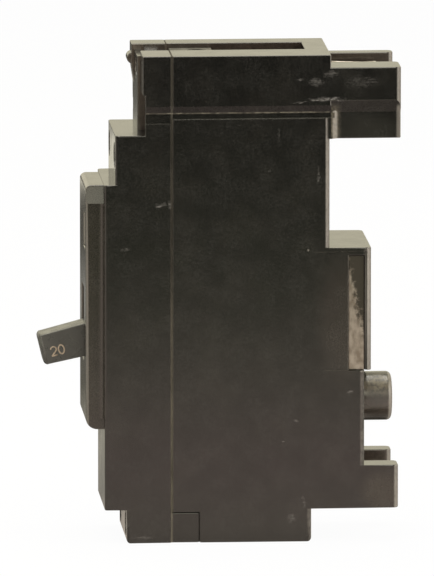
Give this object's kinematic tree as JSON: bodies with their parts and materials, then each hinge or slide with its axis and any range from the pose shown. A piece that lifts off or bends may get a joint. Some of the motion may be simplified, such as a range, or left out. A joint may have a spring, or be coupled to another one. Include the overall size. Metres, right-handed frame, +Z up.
{
  "type": "ground-fault circuit breaker",
  "caption": "Narrow moulded-case ground-fault breaker with a tilting handle, test button, load terminal channel, line bolt boss, rail foot and upper hook.",
  "frame": {"origin": "seat of the line bolt: centre of the round boss's rear end", "axes": "+Z up towards the load terminals, +Y rearwards into the panel, -Y towards the handle, +X the near side in the picture"},
  "size_m": [0.0254, 0.0762, 0.104],
  "materials": {
    "moulded_phenolic": "moulded black phenolic, glossy with fine scuffs",
    "handle_plastic": "moulded black thermoplastic",
    "button_plastic": "moulded pale thermoplastic",
    "fibre_board": "vulcanised fibre sheet",
    "zinc_steel": "zinc-plated steel",
    "plain_steel": "plain pressed steel",
    "spring_steel": "drawn spring wire",
    "bare_copper": "bare copper",
    "tinned_copper": "tin-plated copper, tarnished",
    "silver_alloy": "silver alloy contact",
    "brass_plate": "pressed brass",
    "bimetal_strip": "rolled bimetal",
    "lug_aluminium": "tin-plated aluminium",
    "circuit_laminate": "solder-masked glass laminate",
    "chip_plastic": "moulded epoxy",
    "capacitor_film": "dipped epoxy",
    "varistor_coat": "dipped epoxy",
    "resistor_coat": "lacquer coat",
    "ferrite": "sintered ferrite",
    "enamelled_wire": "enamelled copper wire",
    "bobbin_nylon": "moulded nylon",
    "lead_insulation": "vinyl insulation"
  },
  "bodies": {
    "case": {"rear_base": "moulded_phenolic", "front_cover": "moulded_phenolic", "mid_barrier": "fibre_board", "case_screws": "zinc_steel", "handle_pin": "plain_steel", "arm_pin": "plain_steel", "fixed_contact": "silver_alloy", "line_strap": "tinned_copper", "arc_plates": "plain_steel", "arc_side_walls": "fibre_board", "cradle_pin": "plain_steel", "yoke": "plain_steel", "armature_pin": "plain_steel", "bimetal": "bimetal_strip", "calibration_screw": "brass_plate", "flexible_braid": "bare_copper", "hot_lead": "lead_insulation", "neutral_lead": "lead_insulation", "transformer_core": "ferrite", "transformer_winding": "enamelled_wire", "solenoid_frame": "plain_steel", "solenoid_bobbin": "bobbin_nylon", "solenoid_coil": "enamelled_wire", "circuit_board": "circuit_laminate", "control_chip": "chip_plastic", "filter_capacitor": "capacitor_film", "varistor": "varistor_coat", "board_resistors": "resistor_coat", "load_strap": "bare_copper", "load_lug": "lug_aluminium", "neutral_plate": "brass_plate", "neutral_clip": "tinned_copper", "plunger_spring": "spring_steel"},
    "handle_body": {"handle": "handle_plastic"},
    "arm_body": {"contact_arm": "bare_copper", "moving_contact": "silver_alloy", "toggle_spring": "spring_steel"},
    "cradle_body": {"cradle": "plain_steel"},
    "armature_body": {"armature": "plain_steel"},
    "plunger_body": {"solenoid_plunger": "plain_steel", "trip_rod": "plain_steel"},
    "button_body": {"test_button": "button_plastic"},
    "blade_body": {"test_blade": "brass_plate"},
    "load_screw_body": {"load_screw": "zinc_steel"},
    "neutral_screw_body": {"neutral_screw": "zinc_steel", "neutral_clamp": "zinc_steel"}
  },
  "joints": [
    {"name": "handle_swing", "type": "hinge", "parent": "case", "child": "handle_body", "pos_m": [0, -0.0503, 0.0168], "axis": [-1, 0, 0], "range_deg": [0, 27]},
    {"name": "contact_arm_swing", "type": "hinge", "parent": "case", "child": "arm_body", "pos_m": [0, -0.0343, 0.0279], "axis": [1, 0, 0], "range_deg": [0, 20.2], "deforming": ["toggle_spring"]},
    {"name": "solenoid_stroke", "type": "slide", "parent": "case", "child": "plunger_body", "axis": [0, 0, -1], "range_m": [0, 0.003], "stiffness_N_per_m": 120, "springref_m": -0.003, "deforming": ["plunger_spring"]},
    {"name": "armature_swing", "type": "hinge", "parent": "case", "child": "armature_body", "pos_m": [0, -0.0444, 0.0464], "axis": [-1, 0, 0], "range_deg": [0, 10.2]},
    {"name": "cradle_trip", "type": "hinge", "parent": "case", "child": "cradle_body", "pos_m": [0, -0.0203, 0.0369], "axis": [1, 0, 0], "range_deg": [0, 7.7]},
    {"name": "test_button_press", "type": "slide", "parent": "case", "child": "button_body", "axis": [0, 1, 0], "range_m": [0, 0.0015], "stiffness_N_per_m": 500, "springref_m": -0.001},
    {"name": "test_blade_flex", "type": "hinge", "parent": "case", "child": "blade_body", "pos_m": [0.0066, -0.0583, 0.0168], "axis": [-1, 0, 0], "range_deg": [0, 4.6]},
    {"name": "load_screw_turn", "type": "hinge", "parent": "case", "child": "load_screw_body", "pos_m": [-0.0018, -0.0488, 0.07085], "axis": [0, 1, 0], "continuous": true},
    {"name": "neutral_screw_turn", "type": "hinge", "parent": "case", "child": "neutral_screw_body", "pos_m": [0.0072, -0.0488, 0.0629], "axis": [0, 1, 0], "continuous": true}
  ],
  "couplings": [
    {"joint": "contact_arm_swing", "follows": "handle_swing", "ratio": 0.74074},
    {"joint": "armature_swing", "follows": "solenoid_stroke", "rad_per_m": 58.178},
    {"joint": "cradle_trip", "follows": "solenoid_stroke", "rad_per_m": 43.633},
    {"joint": "test_blade_flex", "follows": "test_button_press", "rad_per_m": 51.196}
  ]
}
